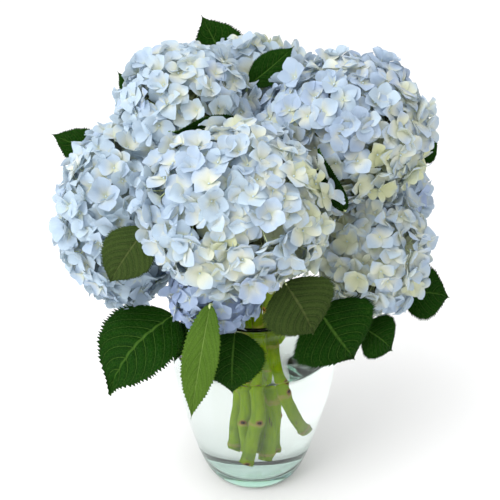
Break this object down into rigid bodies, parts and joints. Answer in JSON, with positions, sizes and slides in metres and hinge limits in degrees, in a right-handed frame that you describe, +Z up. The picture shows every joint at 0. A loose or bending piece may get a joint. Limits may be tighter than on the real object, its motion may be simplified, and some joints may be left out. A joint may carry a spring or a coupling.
{
  "type": "hydrangeas in a vase",
  "caption": "Rounded bouquet of pale blue and cream cut hydrangeas with dark green leaves, in a clear tapering glass vase of water.",
  "frame": {"origin": "centre of the vase's flat foot, on the surface it stands on", "axes": "+Z up along the vase's axis, -Y towards the front of the bouquet, +X to the viewer's right"},
  "size_m": [0.3739, 0.3004, 0.4362],
  "materials": {
    "glass": "gloss",
    "water": "gloss",
    "blue_petal": "matte",
    "cream_petal": "matte",
    "stem_green": "satin",
    "leaf_green": "satin",
    "leaf_olive": "satin",
    "leaf_pale": "satin"
  },
  "bodies": {
    "root": {"bloom_front": "blue_petal", "bloom_upper_left": "blue_petal", "bloom_upper_right": "blue_petal", "bloom_lower_right": "cream_petal", "bloom_left": "blue_petal", "bloom_low_front": "blue_petal", "bloom_top_back": "blue_petal", "bloom_back_right": "blue_petal", "bloom_back_left": "blue_petal", "stem_front": "stem_green", "stem_low_front": "stem_green", "stem_upper_right": "stem_green", "stem_lower_right": "stem_green", "stem_left": "stem_green", "stem_upper_left": "stem_green", "stem_top_back": "stem_green", "stem_back_right": "stem_green", "stem_back_left": "stem_green", "leaf_top_back": "leaf_green", "leaf_between_upper": "leaf_green", "leaf_far_left": "leaf_green", "leaf_tip_back_left": "leaf_green", "leaf_top_middle": "leaf_green", "leaf_front_right": "leaf_green", "leaf_far_right": "leaf_green", "leaf_left_inner": "leaf_olive", "leaf_low_left": "leaf_green", "leaf_low_shadow": "leaf_green", "leaf_pale_narrow": "leaf_pale", "leaf_low_middle": "leaf_green", "leaf_olive_front": "leaf_olive", "leaf_low_right": "leaf_green", "leaf_low_right_back": "leaf_green", "leaf_right_outer": "leaf_green", "leaf_back_low_left": "leaf_green", "leaf_back_low_right": "leaf_green", "leaf_back_middle": "leaf_green", "vase": "glass", "water": "water"}
  },
  "joints": []
}
